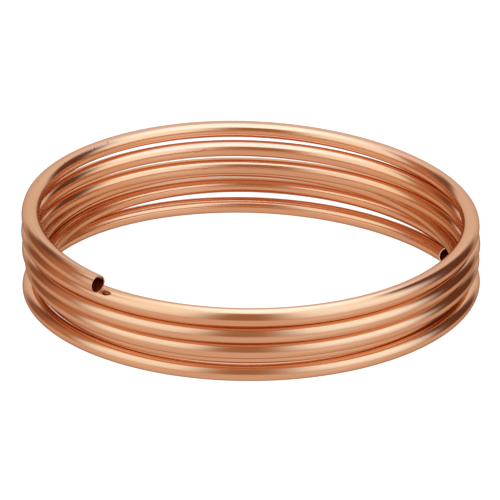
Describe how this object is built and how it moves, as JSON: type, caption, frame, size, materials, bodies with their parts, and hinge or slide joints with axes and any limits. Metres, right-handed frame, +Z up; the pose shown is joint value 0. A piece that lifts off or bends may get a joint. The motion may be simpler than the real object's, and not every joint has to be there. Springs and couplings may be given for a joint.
{
  "type": "copper tube coil",
  "caption": "Loose coil of soft copper tube, wound into a few open turns, with both ends cut square and the bore open for carrying water, gas or refrigerant.",
  "frame": {"origin": "on the floor, under the middle of the coil's bounding box", "axes": "+Z up along the coil's axis; -Y is the front, where the upper turns have slid forward; the upper end is at the front left and the lower end at the right, towards the back"},
  "size_m": [0.3176, 0.337, 0.081],
  "materials": {
    "copper": "bare drawn copper, satin, with a soft sheen along the tube"
  },
  "bodies": {
    "root": {"copper_tube": "copper"}
  },
  "joints": []
}
